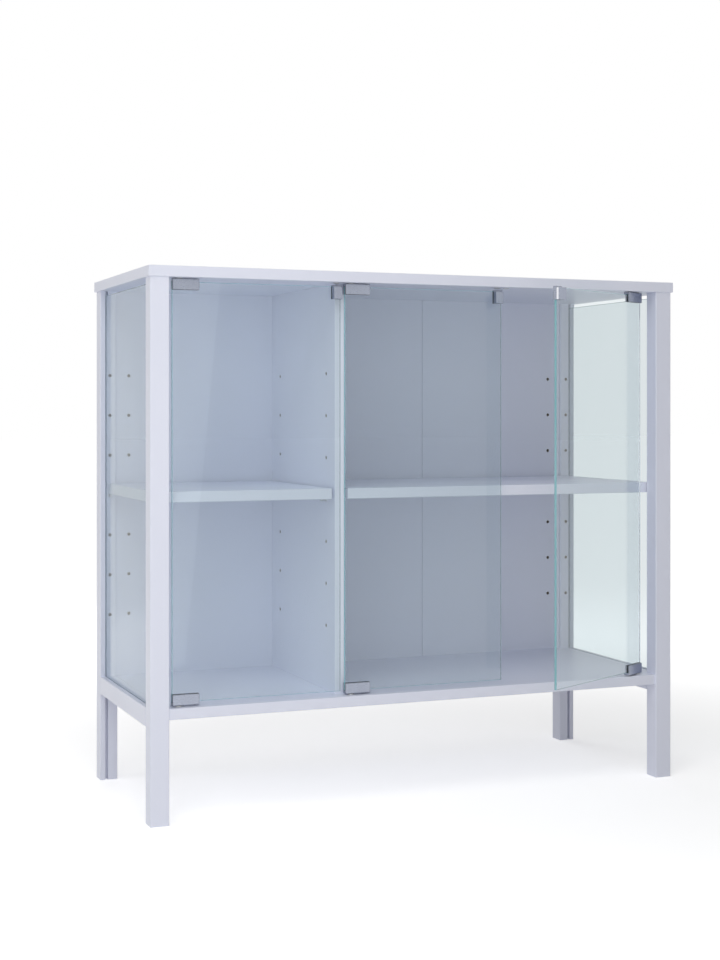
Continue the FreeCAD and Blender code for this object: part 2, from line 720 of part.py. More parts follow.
def floor_screws():
    """Screws driven up through the floor board into the divider and the back boards."""
    master = new_body("floor_screw")
    sunk = "sizes.screw_sunk"
    rod(master, "Additive", upwards("sizes.board_thickness"), "sizes.screw_core_diameter",
        "sizes.screw_length - sizes.board_thickness", HIDDEN_SIDES)
    rod(master, "Additive", upwards("sizes.screw_head_height"), "sizes.screw_shank_diameter",
        "sizes.board_thickness - sizes.screw_head_height", HIDDEN_SIDES)
    rod(master, "Additive", upwards(sunk), "sizes.screw_head_diameter",
        f"sizes.screw_head_height - {sunk}", SMALL_SIDES)
    rod(master, "Subtractive", upwards(sunk), "sizes.screw_key", "sizes.screw_key_depth", KEY_SIDES)
    group("floor_screws", [(master, spot(x, y, "layout.floor_under"))
                           for x, y in DIVIDER_SCREWS + BACK_SPOTS])


# ---------------------------------------------------------------- doors
def on_door(door, x, y, z, turned=NO_TURN):
    """The placement of a piece in a door's own frame, whose Z is the pivot axis."""
    pivot, _, _, opened = DOORS[door]
    swing = f"placement(vector({pivot}; sizes.door_plane - layout.centre_y; 0); {turn('0; 0; 1', opened)})"
    return f"{swing} * placement(vector({x}; {y}; {z}); {turned})"


def door_glass(door):
    _, side, width, _ = DOORS[door]
    body = board(f"door_{door}_glass", width, "sizes.door_glass_thickness", "layout.door_height")
    soften(body, "Chamfer", "sizes.glass_arris", every_edge)
    left = "-sizes.pivot_inset" if side > 0 else f"sizes.pivot_inset - {width}"
    front = "-sizes.door_glass_thickness / 2"
    node(body, body.Name)
    body.setExpression("Placement", on_door(door, left, front, "layout.door_bottom"))


def channel(body, width, height, length, wall, web):
    """A U channel along X, its web on top at z = 0, and its slot open below."""
    outer = f"({width} / 2)"
    inner = f"({width} / 2 - {wall})"
    section = new_sketch(body, "YZ_Plane")
    polygon(section, [
        (f"-{outer}", "0"), (f"-{outer}", f"-{height}"),
        (f"-{inner}", f"-{height}"), (f"-{inner}", f"-{web}"),
        (inner, f"-{web}"), (inner, f"-{height}"), (outer, f"-{height}"), (outer, "0")])
    padded(body, section, length)


def clip_seats(door):
    """Where a door's two pivot clips sit: level, height, turn and the wall that has the grub screws."""
    if DOORS[door][1] > 0:
        return (("top", "layout.clip_top", NO_TURN, 1), ("bottom", "layout.clip_bottom", HALF_X, -1))
    return (("top", "layout.clip_top", HALF_Z, -1), ("bottom", "layout.clip_bottom", HALF_Y, 1))


def hinge_clip(door, level, z, turned, screw_wall):
    """A channel that grips the glass: pivot bore in its web, two threaded bores in its rear wall."""
    body = new_body(f"door_{door}_clip_{level}")
    channel(body, "layout.clip_width", "sizes.clip_height", "sizes.clip_length", "sizes.clip_wall",
            "sizes.clip_web")
    soften(body, "Chamfer", "sizes.clip_bevel", edges_on_box)
    pivot = f"placement(vector(sizes.pivot_inset; 0; 0); {HALF_X})"
    rod(body, "Subtractive", pivot, "sizes.pivot_diameter + 2 * sizes.fit_play", "sizes.clip_web",
        SMALL_SIDES)
    inwards = Z_TO_FRONT if screw_wall > 0 else Z_TO_BACK
    for along in GRUB_PLACES:
        face = f"{along}; {screw_wall} * layout.clip_width / 2; -sizes.grub_drop"
        rod(body, "Subtractive", f"placement(vector({face}); {inwards})",
            "sizes.grub_diameter + 2 * sizes.fit_play", "sizes.clip_wall", SMALL_SIDES)
    node(body, f"door_{door}_clip_{level}")
    end = f"{-DOORS[door][1]} * sizes.pivot_inset"
    body.setExpression("Placement", on_door(door, end, "0", z, turned))


def end_cap(body, length, width, height, slot, end, roof):
    """A cap over a corner of a pane: its free end at x = 0 and its top at z = 0, open below and at -x."""
    block(body, "Additive", f"-{length}; -{width} / 2; -{height}", length, width, height)
    block(body, "Subtractive", f"-{length}; -{slot} / 2; -{height}", f"{length} - {end}", slot,
          f"{height} - {roof}")


def strike_seat(door):
    _, side, width, _ = DOORS[door]
    reach = f"{side} * ({width} - sizes.pivot_inset + layout.strike_over)"
    return on_door(door, reach, "0", "layout.strike_top", NO_TURN if side > 0 else HALF_Z)


def strike_cap(door):
    """The metal cap on the free top corner: the magnet holds it, and its front is a wedge to pull at."""
    body = new_body(f"door_{door}_strike_cap")
    end_cap(body, "sizes.strike_length", "layout.strike_width", "sizes.strike_height", "layout.slot_width",
            "sizes.strike_end", "sizes.strike_roof")
    wedge = new_sketch(body, "XY_Plane", "-sizes.strike_height")
    front = -DOORS[door][1]
    inner = f"{front} * layout.slot_width / 2"
    polygon(wedge, [
        ("0", inner), ("0", f"{inner} + {front} * sizes.pull_thin"),
        ("-sizes.strike_length", f"{inner} + {front} * sizes.pull_thick"),
        ("-sizes.strike_length", inner)])
    padded(body, wedge, "sizes.strike_height - sizes.pull_drop")
    node(body, f"door_{door}_strike_cap")
    body.setExpression("Placement", strike_seat(door))


def liner_masters():
    """The soft liners between metal and glass: one for a pivot clip, one for a strike cap."""
    clip_liner = new_body("clip_liner")
    channel(clip_liner, "layout.slot_width", "(sizes.clip_height - sizes.clip_web)", "sizes.clip_length",
            "sizes.pad_thickness", "sizes.pad_thickness")
    strike_liner = new_body("strike_liner")
    end_cap(strike_liner, "(sizes.strike_length - sizes.strike_end)", "layout.slot_width",
            "(sizes.strike_height - sizes.strike_roof)", "sizes.door_glass_thickness",
            "sizes.pad_thickness", "sizes.pad_thickness")
    return clip_liner, strike_liner


def grub_master():
    """A set screw with a key socket, its axis Z, its tip at z = 0 on the liner."""
    body = new_body("grub_screw")
    length = "(sizes.clip_wall + sizes.grub_proud)"
    rod(body, "Additive", upwards("0"), "sizes.grub_diameter", length, SMALL_SIDES)
    socket = f"placement(vector(0; 0; {length}); {HALF_X})"
    rod(body, "Subtractive", socket, "sizes.grub_key", "sizes.grub_key_depth", KEY_SIDES)
    return body


def pivot_pin_master(level, gap):
    """A turned pin from the underside of the clip's web through the gap into the bush."""
    body = new_body(f"pivot_pin_{level}")
    radius = "sizes.pivot_diameter / 2"
    top = f"({gap} + sizes.pivot_reach)"
    profile = new_sketch(body, "XZ_Plane")
    polygon(profile, [
        ("0", "-sizes.clip_web"), (radius, "-sizes.clip_web"), (radius, f"{top} - sizes.pivot_tip"),
        (f"{radius} - sizes.pivot_tip", top), ("0", top)])
    profile.recompute()
    turned = body.newObject("PartDesign::Revolution", f"{body.Name}_turned")
    turned.Profile = profile
    turned.ReferenceAxis = (profile, ["V_Axis"])
    turned.Angle = 360
    turned.recompute()
    return body


def door_hardware(door, clip_liner, strike_liner, grub, pins):
    """The small pieces of a door: liners, grub screws and pivot pins, each kind one node."""
    side = DOORS[door][1]
    end = f"{-side} * sizes.pivot_inset"
    liners = []
    grubs = []
    pivots = []
    for level, z, turned, _ in clip_seats(door):
        outwards = 1 if level == "top" else -1
        under_web = f"{z} - {outwards} * sizes.clip_web"
        liners.append((clip_liner, on_door(door, end, "0", under_web, turned)))
        pin_turn = NO_TURN if outwards > 0 else HALF_X
        pivots.append((pins[level], on_door(door, "0", "0", z, pin_turn)))
        for along in GRUB_PLACES:
            x = f"{side} * ({along} - sizes.pivot_inset)"
            height = f"{z} - {outwards} * sizes.grub_drop"
            grubs.append((grub, on_door(door, x, "layout.slot_width / 2", height, Z_TO_BACK)))
    inside_cap = f"placement(vector(-sizes.strike_end; 0; -sizes.strike_roof); {NO_TURN})"
    liners.append((strike_liner, f"{strike_seat(door)} * {inside_cap}"))
    group(f"door_{door}_pads", liners)
    group(f"door_{door}_grub_screws", grubs)
    group(f"door_{door}_pivot_pins", pivots)


# ---------------------------------------------------------------- the bookcase
def build():
    top_panel()
    bottom_panel()
    divider_panel()
    back_panel("back_panel_left", 0, -1)
    back_panel("back_panel_middle", 1, 0)
    back_panel("back_panel_right", 2, 1)
    shelf("shelf_left", "-layout.shelf_outer",
          "layout.divider_left - sizes.shelf_divider_gap + layout.shelf_outer")
    shelf("shelf_right", "layout.divider_right + sizes.shelf_divider_gap",
          "layout.shelf_outer - layout.divider_right - sizes.shelf_divider_gap")
    for side in SIDES:
        post(side, "front")
        post(side, "rear")
        side_rail(side)
        side_glass(side)
    shelf_pins()
    pivot_bushes("top", "sizes.pivot_gap_top", "layout.post_height", NO_TURN)
    pivot_bushes("bottom", "sizes.pivot_gap_bottom", "layout.floor_top", HALF_X)
    catch_magnets()
    wood_dowels()
    floor_screws()
    clip_liner, strike_liner = liner_masters()
    grub = grub_master()
    pins = {"top": pivot_pin_master("top", "sizes.pivot_gap_top"),
            "bottom": pivot_pin_master("bottom", "sizes.pivot_gap_bottom")}
    for door in DOORS:
        door_glass(door)
        for seat in clip_seats(door):
            hinge_clip(door, *seat)
        strike_cap(door)
        door_hardware(door, clip_liner, strike_liner, grub, pins)


def check():
    """Stops unless every object is up to date and every sub-part is a valid shape."""
    for item in doc.Objects:
        if {"Invalid", "Error"} & set(item.State):
            raise RuntimeError(f"{item.Label} failed: {item.State}")
    for piece in nodes:
        if piece.Shape.isNull() or not piece.Shape.isValid():
            raise RuntimeError(f"{piece.Label} has no valid shape")


def export():
    os.makedirs("parts", exist_ok=True)
    for piece in nodes:
        piece.Shape.exportStep(os.path.join("parts", f"{piece.Label}.step"))
        print(f"{piece.Label}: {len(piece.Shape.Solids)} solid(s), {piece.Shape.Volume:.0f} mm3")


build()
doc.recompute()
check()
export()
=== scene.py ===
# %% [markdown]
# # A low bookcase with glass doors, dressed piece by piece
#
# The bookcase stands on four square posts. White laminate boards make its top, floor, back, divider and
# shelves, two panes close its sides, and three frameless glass doors turn on small metal clips. The solids
# of all of it are loaded from the frame, in metres, each at its own place. Boards, dowels, floor screws and
# liners keep their solids and get a finish. Glass and bright metal show every sharp edge and facet, so
# those pieces, and the bushes and magnets, are drawn again here with rounded edges, at the same places.

# %% Load the frame
import math

import bmesh
import bpy
import numpy as np
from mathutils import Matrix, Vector


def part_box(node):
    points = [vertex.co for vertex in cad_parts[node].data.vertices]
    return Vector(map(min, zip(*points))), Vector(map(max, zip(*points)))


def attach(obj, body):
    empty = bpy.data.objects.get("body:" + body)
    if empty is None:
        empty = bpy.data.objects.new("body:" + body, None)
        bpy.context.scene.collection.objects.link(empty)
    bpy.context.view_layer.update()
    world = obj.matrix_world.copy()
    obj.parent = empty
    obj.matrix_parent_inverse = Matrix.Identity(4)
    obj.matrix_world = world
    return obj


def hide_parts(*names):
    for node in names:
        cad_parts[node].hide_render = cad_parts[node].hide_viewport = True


# depths are counted back from the front of the posts here, and the frame counts Y from the middle of the
# overall box, which lies this much further back
MIDDLE = 0.121858

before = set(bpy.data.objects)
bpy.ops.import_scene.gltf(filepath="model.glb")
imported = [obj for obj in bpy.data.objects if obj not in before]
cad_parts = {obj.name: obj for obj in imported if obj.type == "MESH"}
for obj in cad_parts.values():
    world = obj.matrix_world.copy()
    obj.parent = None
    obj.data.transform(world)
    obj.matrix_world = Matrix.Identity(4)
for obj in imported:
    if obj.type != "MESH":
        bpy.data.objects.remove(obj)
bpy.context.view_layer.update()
scene = bpy.context.scene

# %% [markdown]
# ## The camera
#
# The bookcase is seen from its left front, a little above its shelves. The camera is level, so upright
# edges stay parallel, and the lens is shifted down a little to put the bookcase in the middle of a tall
# picture. Tilting the camera would frame it too, but then the posts would lean.

# %% Place the camera
CAMERA_PLACE, CAMERA_TURN = (-1.009, -2.3506, 0.593), -0.383
LENS, SENSOR, SHIFT = 60.28, 36, -0.0725
camera_data = bpy.data.cameras.new("camera")
camera_data.lens = LENS
camera_data.sensor_width = SENSOR
camera_data.shift_y = SHIFT
camera = bpy.data.objects.new("camera", camera_data)
camera.location = CAMERA_PLACE
camera.rotation_euler = (math.pi / 2, 0, CAMERA_TURN)
scene.collection.objects.link(camera)
scene.camera = camera
print("camera at", [round(v, 3) for v in camera.location], "lens", camera_data.lens)

# %% [markdown]
# ## Writing a finish as sums
#
# A finish is a tree of nodes, and most of them are small sums: this noise times that mask, plus a little.
# Wires drawn by hand are hard to read back, so a socket is wrapped in a small class here. Plus, minus, times
# and the like on it add the Math nodes, and its node method adds any other node, settings first.


# %% The socket class
class Wire:
    """One output socket of a finish. A sum on it adds Math nodes to the same tree."""

    def __init__(self, tree, socket=None):
        self.tree, self.socket = tree, socket

    def node(self, kind, settings=None, sockets=None, out=0):
        """Adds a node: first its settings, then the values or links of its sockets, by name or number.
        The Wire that comes back holds its output out, also by name or number."""
        made = self.tree.nodes.new(kind)
        for name, value in (settings or {}).items():
            setattr(made, name, value)
        for name, value in (sockets or {}).items():
            if isinstance(value, Wire):
                self.tree.links.new(value.socket, made.inputs[name])
            else:
                made.inputs[name].default_value = value
        return Wire(self.tree, made.outputs[out] if made.outputs else None)

    def sum(self, operation, *values):
        return self.node("ShaderNodeMath", {"operation": operation}, dict(enumerate(values)))

    def __add__(self, other):
        return self.sum("ADD", self, other)

    def __sub__(self, other):
        return self.sum("SUBTRACT", self, other)

    def __rsub__(self, other):
        return self.sum("SUBTRACT", other, self)

    def __mul__(self, other):
        return self.sum("MULTIPLY", self, other)

    def __lt__(self, other):
        return self.sum("LESS_THAN", self, other)

    def __gt__(self, other):
        return self.sum("GREATER_THAN", self, other)

    __radd__, __rmul__ = __add__, __mul__


print("what a socket can do:", [name.strip("_") for name, value in vars(Wire).items() if callable(value)])


# %% [markdown]
# ## Helpers that every finish shares
#
# Each finish starts the same way: a new material with an empty tree, the point being shaded in the piece's
# own coordinates, and a shader at the end. A pattern on those coordinates keeps its true size in metres and
# stays on the piece when a door swings.


# %% Start, mix and end a finish
def new_finish(name):
    """A material with an empty tree, and the shaded point in the piece's own coordinates."""
    material = bpy.data.materials.new(name)
    material.use_nodes = True
    material.node_tree.nodes.clear()
    here = Wire(material.node_tree).node("ShaderNodeTexCoord", out="Object")
    return material, here


def noise(here, scale, detail=2.0, stretch=(1, 1, 1)):
    """Cloudy noise from 0 to 1 with about scale blobs a metre, drawn out where stretch is small."""
    place = here.node("ShaderNodeMapping", sockets={"Vector": here, "Scale": stretch})
    return here.node("ShaderNodeTexNoise", sockets={"Vector": place, "Scale": scale, "Detail": detail})


def blend(share, first, second):
    """The colour first where share is 0 and second where it is 1. The Mix node has inputs and outputs of
    the same names for numbers, vectors and colours, so those for colours are picked by their number."""
    sockets = {0: share}
    for number, colour in ((6, first), (7, second)):
        sockets[number] = colour if isinstance(colour, Wire) else (*colour, 1)
    return share.node("ShaderNodeMix", {"data_type": "RGBA"}, sockets, out=2)


def bumps(height, distance):
    """A normal that stands for a height field, distance metres from its lowest to its highest."""
    return height.node("ShaderNodeBump", sockets={"Height": height, "Distance": distance})


def surface(here, **sockets):
    """A Principled shader, its sockets named with underscores for spaces."""
    named = {name.replace("_", " "): value for name, value in sockets.items()}
    return here.node("ShaderNodeBsdfPrincipled", sockets=named)


def end_finish(material, shader):
    shader.node("ShaderNodeOutputMaterial", sockets={"Surface": shader})
    print("finish:", material.name, "with", len(material.node_tree.nodes), "nodes")
    return material


# %% [markdown]
# ## White laminate
#
# The boards are particle board under a white foil. From a step away it is plain, so its life comes from
# three faint things: the foil's tone drifts a little over a hand's width, its gloss is uneven, and a fine
# orange peel breaks up reflections. A bored hole cuts through the foil, so its wall shows the brown core.
# The holes stand in columns at a fixed pitch, so a sum finds them: the distance to the nearest hole's axis.
# It counts only near the bored faces and rows, so no outer face or foot gets a spot.

# %% Mix the white laminate
FIRST_HOLE, HOLE_PITCH, BORE_RADIUS = 0.265, 0.064, 0.0027
BORED_FROM, BORED_TO = 0.018 - MIDDLE, 0.330 - MIDDLE
BELOW_HOLES, ABOVE_HOLES = 0.25, 0.66


def laminate(name, columns=(), across=0):
    """White foil. columns are the places of hole columns along axis number across, 0 for X and 1 for Y."""
    material, here = new_finish(name)
    drift = noise(here, scale=5, detail=3)
    # painted light: both tones of the foil are bluer than the board's own white, the cool cast of the light
    # painted in
    foil = blend(drift, (0.785, 0.81, 0.925), (0.825, 0.845, 0.955))
    peel = noise(here, scale=700)
    gloss = 0.30 + 0.10 * noise(here, scale=18, detail=3) + 0.05 * peel
    if columns:
        x, y, z = (here.node("ShaderNodeSeparateXYZ", sockets={0: here}, out=name) for name in "XYZ")
        along = (x, y)[across]
        row = here.sum("PINGPONG", z - FIRST_HOLE, HOLE_PITCH / 2)
        near = 0
        for column in columns:
            away = along - column
            near = near + (away * away + row * row < BORE_RADIUS**2)
        near = near * (y > BORED_FROM) * (y < BORED_TO) * (z > BELOW_HOLES) * (z < ABOVE_HOLES)
        crumbs = blend(noise(here, scale=900, detail=1), (0.26, 0.23, 0.20), (0.42, 0.38, 0.33))
        foil = blend(near, foil, crumbs)
        gloss = gloss + 0.4 * near
    shader = surface(
        here, Base_Color=foil, Roughness=gloss, Normal=bumps(peel, distance=0.00002), IOR=1.48
    )
    return end_finish(material, shader)


POST_COLUMN, BACK_COLUMN = 0.414, 0.382
DIVIDER_COLUMNS = (0.068 - MIDDLE, 0.282 - MIDDLE)
plain_laminate = laminate("white_laminate")
post_laminate = laminate("white_laminate_posts", (-POST_COLUMN, POST_COLUMN))
back_laminate = laminate("white_laminate_back", (-BACK_COLUMN, BACK_COLUMN))
divider_laminate = laminate("white_laminate_divider", DIVIDER_COLUMNS, across=1)

# %% Lay the laminate on the boards
BOARDS = {
    plain_laminate: ("top_panel", "bottom_panel", "shelf_left", "shelf_right", "side_rail_left",
                     "side_rail_right", "back_panel_middle"),
    post_laminate: ("post_front_left", "post_front_right", "post_rear_left", "post_rear_right"),
    back_laminate: ("back_panel_left", "back_panel_right"),
    divider_laminate: ("divider_panel",),
}
for finish, names in BOARDS.items():
    for name in names:
        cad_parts[name].data.materials[0] = finish
print("boards:", sum(len(names) for names in BOARDS.values()))

# %% [markdown]
# ## Float glass
#
# A pane is clear with a breath of green, because float glass holds a little iron. Light that runs inside
# the pane along its length comes out at the ground edges, deep green. One clear finish serves the two faces
# and a second the edges. An edge is green only from outside: from inside, through the pane's face, it is a
# mirror, and nearly vanishes. Real glass would stop the lamps' direct light, because a path tracer can't aim
# through a bending surface, so for shadow rays a pane turns into a tinted film, and so it does for rays that
# leave a dull surface, or the shelves behind the glass would be lit as if the sky were white paper. The side
# panes are seen at a flat angle and would mirror far more of this white room than of a furnished one, so
# their index of refraction is set low.


# %% Mix the glass
PANE_FILM, EDGE_FILM = (0.905, 0.933, 0.94), (0.80, 0.92, 0.92)


def for_the_eye(here, shader, film):
    """The shader for rays that the eye follows, and a clear film of one colour for the rays of lamps and
    dull surfaces."""
    lets_through = here.node("ShaderNodeBsdfTransparent", sockets={"Color": (*film, 1)})
    for ray in ("Is Diffuse Ray", "Is Shadow Ray"):
        kind = here.node("ShaderNodeLightPath", out=ray)
        shader = here.node("ShaderNodeMixShader", sockets={0: kind, 1: shader, 2: lets_through})
    return shader


def clear_glass(name, tint, film, index=1.5):
    """A pane's face: smooth glass, its tint up to a fifth of the way to white where it was wiped cleaner."""
    material, here = new_finish(name)
    wiped = noise(here, scale=6, detail=3, stretch=(1, 1, 0.4))
    colour = blend(wiped, tint, tuple(0.8 * part + 0.2 for part in tint))
    glass = surface(here, Base_Color=colour, Roughness=0.0, IOR=index, Transmission_Weight=1.0)
    return end_finish(material, for_the_eye(here, glass, film))


def ground_edge(name, deep, bright):
    """A pane's ground edge: green that is brighter in long soft stretches, with a fine grinding grain.
    Seen from inside the pane, it is clear glass, which mirrors what meets it at a flat angle."""
    material, here = new_finish(name)
    runs = noise(here, scale=9, stretch=(1, 1, 0.5))
    grain = noise(here, scale=2500, detail=1)
    colour = blend(runs, deep, bright)
    outside = surface(
        here, Base_Color=colour, Roughness=0.12 + 0.18 * grain, Normal=bumps(grain, distance=0.00001),
        Transmission_Weight=0.35, IOR=1.5, Coat_Weight=0.6,
    )
    inside = surface(here, Base_Color=(0.9, 0.93, 0.94, 1), Roughness=0.0, IOR=1.5, Transmission_Weight=1.0)
    from_inside = here.node("ShaderNodeNewGeometry", out="Backfacing")
    edge = here.node("ShaderNodeMixShader", sockets={0: from_inside, 1: outside, 2: inside})
    return end_finish(material, for_the_eye(here, edge, EDGE_FILM))


door_face = clear_glass("door_glass", (0.80, 0.86, 0.875), PANE_FILM)
door_edge = ground_edge("door_glass_edge", (0.12, 0.48, 0.55), (0.48, 0.86, 0.93))
# painted shade: the side panes' face and edges are darker and greyer than the doors', standing for a dark
# room seen through and mirrored in them; their green is the glass's own
side_face = clear_glass("side_glass", (0.72, 0.775, 0.79), PANE_FILM, index=1.14)
side_edge = ground_edge("side_glass_edge", (0.12, 0.34, 0.35), (0.28, 0.55, 0.56))

# %% [markdown]
# ## Metals, nylon, liner and beech
#
# Clips and caps are satin chrome: their gloss is drawn out along the piece by the last polishing. Their
# base is darker than bare chrome, a painted reflection of a darker room than this white one. The rounded
# edges of a clip get a still darker chrome, a painted reflection of the dark parts of a room that a round
# mirrors in a thin line, and the end of a cap's wedge gets a bright chrome, a painted highlight. Pins and
# floor screws are zinc plated and a little cloudy, grub screws are blackened, and magnets sit in bright
# nickel cups. The bushes are moulded nylon and the liners dark rubber. Dowels are beech, with a grain along
# their length.


# %% Mix the metals
def metal(name, dark, light, rough, fine, cloud, brushed=(1, 1, 1)):
    """Plated metal. Its tone drifts between dark and light, in about cloud blobs a metre. A grain of about
    fine blobs a metre, drawn out where brushed is small, adds to its roughness, which starts at rough."""
    material, here = new_finish(name)
    tone = blend(noise(here, scale=cloud), dark, light)
    grain = noise(here, scale=fine, stretch=brushed)
    shader = surface(
        here, Base_Color=tone, Metallic=1.0, Roughness=rough + 0.12 * grain,
        Normal=bumps(grain, distance=0.00001),
    )
    return end_finish(material, shader)


SATIN = {"rough": 0.22, "fine": 1500, "cloud": 30, "brushed": (0.1, 1, 1)}
# painted reflection: the clips' and caps' chrome is darker than bare chrome, standing for a darker room than
# this white one
chrome = metal("clip_chrome", (0.32, 0.345, 0.42), (0.385, 0.415, 0.495), **SATIN)
# painted highlight: the end of a cap's wedge gets this bright chrome, standing for the bright room it
# mirrors
chrome_painted_highlight = metal("clip_chrome_painted_highlight", (0.80, 0.81, 0.86), (0.88, 0.89, 0.93), rough=0.10, fine=1500, cloud=30)
# painted reflection: the clips' rounded edges get this darker chrome, standing for the dark parts of a room
# that they mirror
chrome_painted_dark_edge = metal("clip_chrome_painted_dark_edge", (0.25, 0.265, 0.30), (0.31, 0.325, 0.37), **SATIN)
zinc = metal("steel_pins", (0.55, 0.56, 0.58), (0.70, 0.71, 0.73), rough=0.28, fine=900, cloud=200)
oxide = metal("dark_steel", (0.10, 0.10, 0.11), (0.17, 0.17, 0.18), rough=0.35, fine=900, cloud=200)
nickel = metal("magnet_steel", (0.60, 0.60, 0.61), (0.70, 0.70, 0.71), rough=0.25, fine=900, cloud=150)


# %% Mix the plastics and the wood
def moulded(name, dark, light, rough):
    """Plastic or rubber from a mould: its tone drifts between dark and light, under a fine grain."""
    material, here = new_finish(name)
    tone = blend(noise(here, scale=120), dark, light)
    grain = noise(here, scale=1800)
    shader = surface(
        here, Base_Color=tone, Roughness=rough + 0.1 * grain, Normal=bumps(grain, distance=0.00002)
    )
    return end_finish(material, shader)


nylon = moulded("nylon", (0.60, 0.61, 0.62), (0.68, 0.69, 0.70), rough=0.42)
liner = moulded("dark_liner", (0.055, 0.06, 0.065), (0.085, 0.09, 0.095), rough=0.55)

beech, here = new_finish("beech")
pores = noise(here, scale=1400, stretch=(1, 1, 0.08))
rings = noise(here, scale=260, detail=3, stretch=(1, 1, 0.05))
beech_shader = surface(
    here, Base_Color=blend(0.6 * rings + 0.4 * pores, (0.60, 0.43, 0.27), (0.76, 0.60, 0.42)),
    Roughness=0.55 + 0.2 * pores, Normal=bumps(pores, distance=0.00008),
)
end_finish(beech, beech_shader)

# %% Finish the small solids that stay
SMALL_SOLIDS = {
    beech: ("wood_dowels",),
    zinc: ("floor_screws",),
    liner: ("door_left_pads", "door_middle_pads", "door_right_pads"),
}
for finish, names in SMALL_SOLIDS.items():
    for name in names:
        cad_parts[name].data.materials[0] = finish
print("small solids that stay:", sum(len(names) for names in SMALL_SOLIDS.values()))

# %% [markdown]
# ## From grids of points to pieces
#
# A new piece starts as a grid: rows of points, each row as long as the next. Numpy works out the whole grid
# at once, and the faces join each point to its neighbours. Three helpers serve all the pieces below. One
# makes the faces of a grid, and one puts several solids into one. The third makes the Blender object,
# closes its seams, turns its faces outwards, hangs it on the body that carries it and hides the solids it
# stands for.


# %% Grids and pieces
MERGED_WITHIN, DROPPED_BELOW = 1e-6, 1e-7
BEVEL_STEPS, STEEP = 3, 50


def skin(points, loop_rows=False, loop_columns=False):
    """Four-sided faces over a grid (rows, columns, 3). Each joins a point to the next in its row and in its
    column, and a loop joins the last to the first."""
    number = np.arange(points.shape[0] * points.shape[1]).reshape(points.shape[:2])
    after, above = np.roll(number, -1, axis=1), np.roll(number, -1, axis=0)
    faces = np.stack([number, after, np.roll(after, -1, axis=0), above], axis=-1)
    faces = faces if loop_rows else faces[:-1]
    faces = faces if loop_columns else faces[:, :-1]
    return points.reshape(-1, 3), faces.reshape(-1, 4).tolist()


def gather(solids):
    """Several (points, faces) as one: each solid's face numbers are moved up by the points before it."""
    points, faces, first = [], [], 0
    for solid_points, solid_faces in solids:
        points.append(solid_points)
        faces += [[first + corner for corner in face] for face in solid_faces]
        first += len(solid_points)
    return np.concatenate(points), faces


def new_piece(name, solid, body, finishes, nodes, bevel=0.0, sharp=35):
    """Makes the object of a solid, in metres, at its place in the frame. It replaces nodes. Edges that turn
    more than sharp degrees stay sharp, and a bevel rounds the steep ones and gives them the last finish."""
    points, faces = solid
    mesh = bpy.data.meshes.new(name)
    mesh.from_pydata(points.tolist(), [], faces)
    shape = bmesh.new()
    shape.from_mesh(mesh)
    bmesh.ops.remove_doubles(shape, verts=shape.verts, dist=MERGED_WITHIN)
    bmesh.ops.dissolve_degenerate(shape, edges=shape.edges, dist=DROPPED_BELOW)
    bmesh.ops.recalc_face_normals(shape, faces=shape.faces)
    shape.to_mesh(mesh)
    shape.free()
    mesh.polygons.foreach_set("use_smooth", np.ones(len(mesh.polygons), bool))
    mesh.set_sharp_from_angle(angle=math.radians(sharp))
    for finish in finishes:
        mesh.materials.append(finish)
    piece = bpy.data.objects.new(name, mesh)
    scene.collection.objects.link(piece)
    if bevel:
        rounding = piece.modifiers.new("rounding", "BEVEL")
        rounding.width, rounding.segments, rounding.limit_method = bevel, BEVEL_STEPS, "ANGLE"
        rounding.angle_limit = math.radians(STEEP)
        rounding.material = len(finishes) - 1
    flats = piece.modifiers.new("flat faces stay flat", "WEIGHTED_NORMAL")
    flats.keep_sharp = True
    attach(piece, body)
    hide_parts(*nodes)
    return piece


print("faces of a grid with 3 rows and 4 columns:", len(skin(np.zeros((3, 4, 3)))[1]))

# %% [markdown]
# ## Panes
#
# A pane is a flat box whose edges are ground to a small round. A box with a Bevel modifier would do, but one
# formula gives the whole shape: take a small ball, and push each eighth of it out to its own corner of the
# pane. The flat faces then lie between the pushed parts. The faces that look along the pane's thickness get
# the clear finish, and all others the ground edge.

# %% The pushed ball
ROUND_STEPS = 4


def rounded_box(low, high, radius):
    """P = middle + side * (half size - radius) + radius * n, where n runs over a ball and side is the sign
    of n's eighth. Each quarter turn repeats its first angle, so that flat faces open between the eighths."""
    low, high = np.array(low, float), np.array(high, float)
    quarter = np.linspace(0, math.pi / 2, ROUND_STEPS + 1)
    turn = np.concatenate([quarter + k * math.pi / 2 for k in range(4)])
    turn_side = np.repeat(np.arange(4), ROUND_STEPS + 1)
    rise = np.concatenate([quarter - math.pi / 2, quarter])
    rise_side = np.repeat([-1.0, 1.0], ROUND_STEPS + 1)
    rise, turn = rise[:, None], turn[None, :]
    level = np.zeros_like(turn)
    n = np.stack([np.cos(rise) * np.cos(turn), np.cos(rise) * np.sin(turn), np.sin(rise) + level], axis=-1)
    side_x = np.array([1.0, -1.0, -1.0, 1.0])[turn_side]
    side_y = np.array([1.0, 1.0, -1.0, -1.0])[turn_side]
    side = np.stack(
        [side_x + 0 * rise, side_y + 0 * rise, rise_side[:, None] + 0 * turn], axis=-1
    )
    points = (low + high) / 2 + side * ((high - low) / 2 - radius) + radius * n
    shape, faces = skin(points, loop_columns=True)
    columns = points.shape[1]
    last = len(shape) - columns
    return shape, faces + [list(range(columns)), list(range(last, last + columns))]


print("points of a pushed ball:", len(rounded_box((0, 0, 0), (3, 2, 1), 0.1)[0]))

